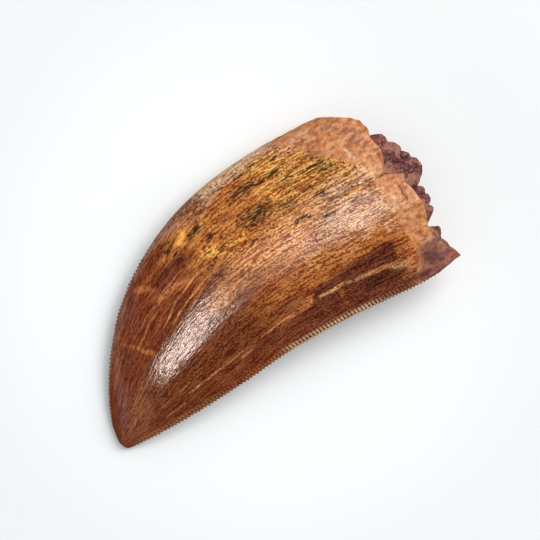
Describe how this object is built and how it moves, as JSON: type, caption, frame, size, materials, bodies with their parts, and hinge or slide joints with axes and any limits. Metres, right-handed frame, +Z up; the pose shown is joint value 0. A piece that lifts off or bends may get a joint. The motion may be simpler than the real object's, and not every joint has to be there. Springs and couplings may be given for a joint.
{
  "type": "fossil dinosaur tooth",
  "caption": "Curved, flattened fossil tooth of a meat-eating dinosaur with serrated edges, lying on its side, with the root broken off and dark stone filling the pulp cavity.",
  "frame": {"origin": "on the ground, under the centre of the bounding box of the tooth as it lies", "axes": "+X from the point of the tooth to its broken base, +Y from the rear (concave) edge to the front (convex) edge, +Z up, out of the outer face"},
  "size_m": [0.0616, 0.0322, 0.0141],
  "materials": {
    "fossil_enamel": "glossy brown enamel with fine lengthwise wrinkles, mottled ochre, orange and near black, duller and paler at the root",
    "dark_sandstone": "matte purple-brown, grainy and lumpy"
  },
  "bodies": {
    "root": {"tooth_crown": "fossil_enamel", "stone_infill": "dark_sandstone"}
  },
  "joints": []
}
